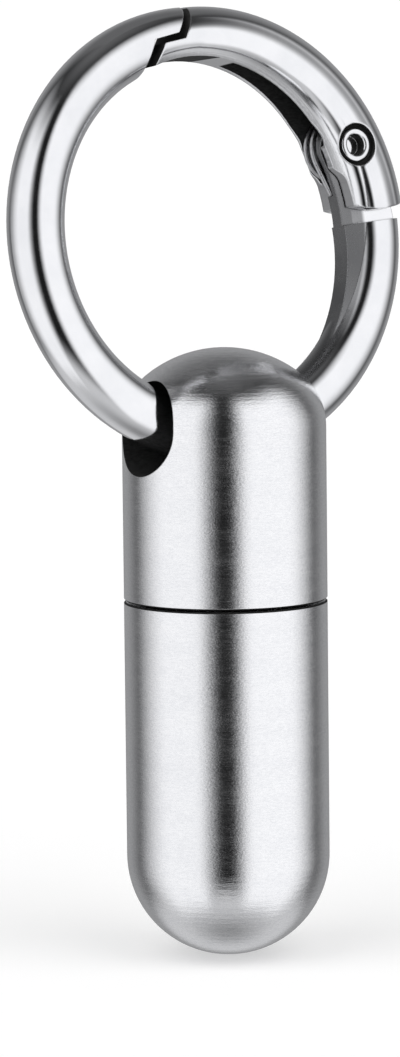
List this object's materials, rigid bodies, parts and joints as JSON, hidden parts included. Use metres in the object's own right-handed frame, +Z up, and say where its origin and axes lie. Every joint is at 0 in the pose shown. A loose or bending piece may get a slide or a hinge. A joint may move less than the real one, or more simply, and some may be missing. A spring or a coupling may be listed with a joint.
{
  "type": "pill fob keychain",
  "caption": "Steel pill capsule that unscrews in the middle and hangs by a cross-hole in its cap from a polished round ring with a sprung half-lap gate.",
  "frame": {"origin": "the highest point of the inside of the ring, in the middle of its wire, where a hook carries the keychain", "axes": "+Z up along the hanging capsule, +X along the capsule's cross-hole towards the side of the ring that carries the gate's hinge, +Y away from the ring's front"},
  "size_m": [0.0339, 0.015, 0.0698],
  "materials": {
    "capsule_steel": "satin, fine lines round the capsule",
    "ring_chrome": "polished",
    "spring_steel": "drawn wire",
    "seal_rubber": "matte"
  },
  "bodies": {
    "ring": {"ring_body": "ring_chrome", "gate_rivet": "ring_chrome", "gate_spring": "spring_steel"},
    "gate": {"ring_gate": "ring_chrome"},
    "cap": {"pill_cap": "capsule_steel"},
    "seal": {"seal_ring": "seal_rubber"},
    "tube": {"pill_tube": "capsule_steel"}
  },
  "joints": [
    {"name": "gate_swing", "type": "hinge", "parent": "ring", "child": "gate", "pos_m": [0.01265, -0.00097, -0.00648], "axis": [0, -0.989, 0.1478], "range_deg": [0, 30], "stiffness_Nm_per_rad": 0.05, "springref_deg": -34.38, "deforming": ["gate_spring"]},
    {"name": "capsule_swing", "type": "hinge", "parent": "ring", "child": "cap", "pos_m": [0, -0.00392, -0.0262], "axis": [1, 0, 0], "range_deg": [-112, 95]},
    {"name": "tube_advance", "type": "slide", "parent": "cap", "child": "seal", "axis": [0, 0, -1], "range_m": [0, 0.005]},
    {"name": "tube_turn", "type": "hinge", "parent": "seal", "child": "tube", "pos_m": [0, -0.00392, -0.0391], "axis": [0, 0, -1], "range_deg": [0, 1800]}
  ],
  "couplings": [
    {"joint": "tube_turn", "follows": "tube_advance", "rad_per_m": 6283.2}
  ]
}
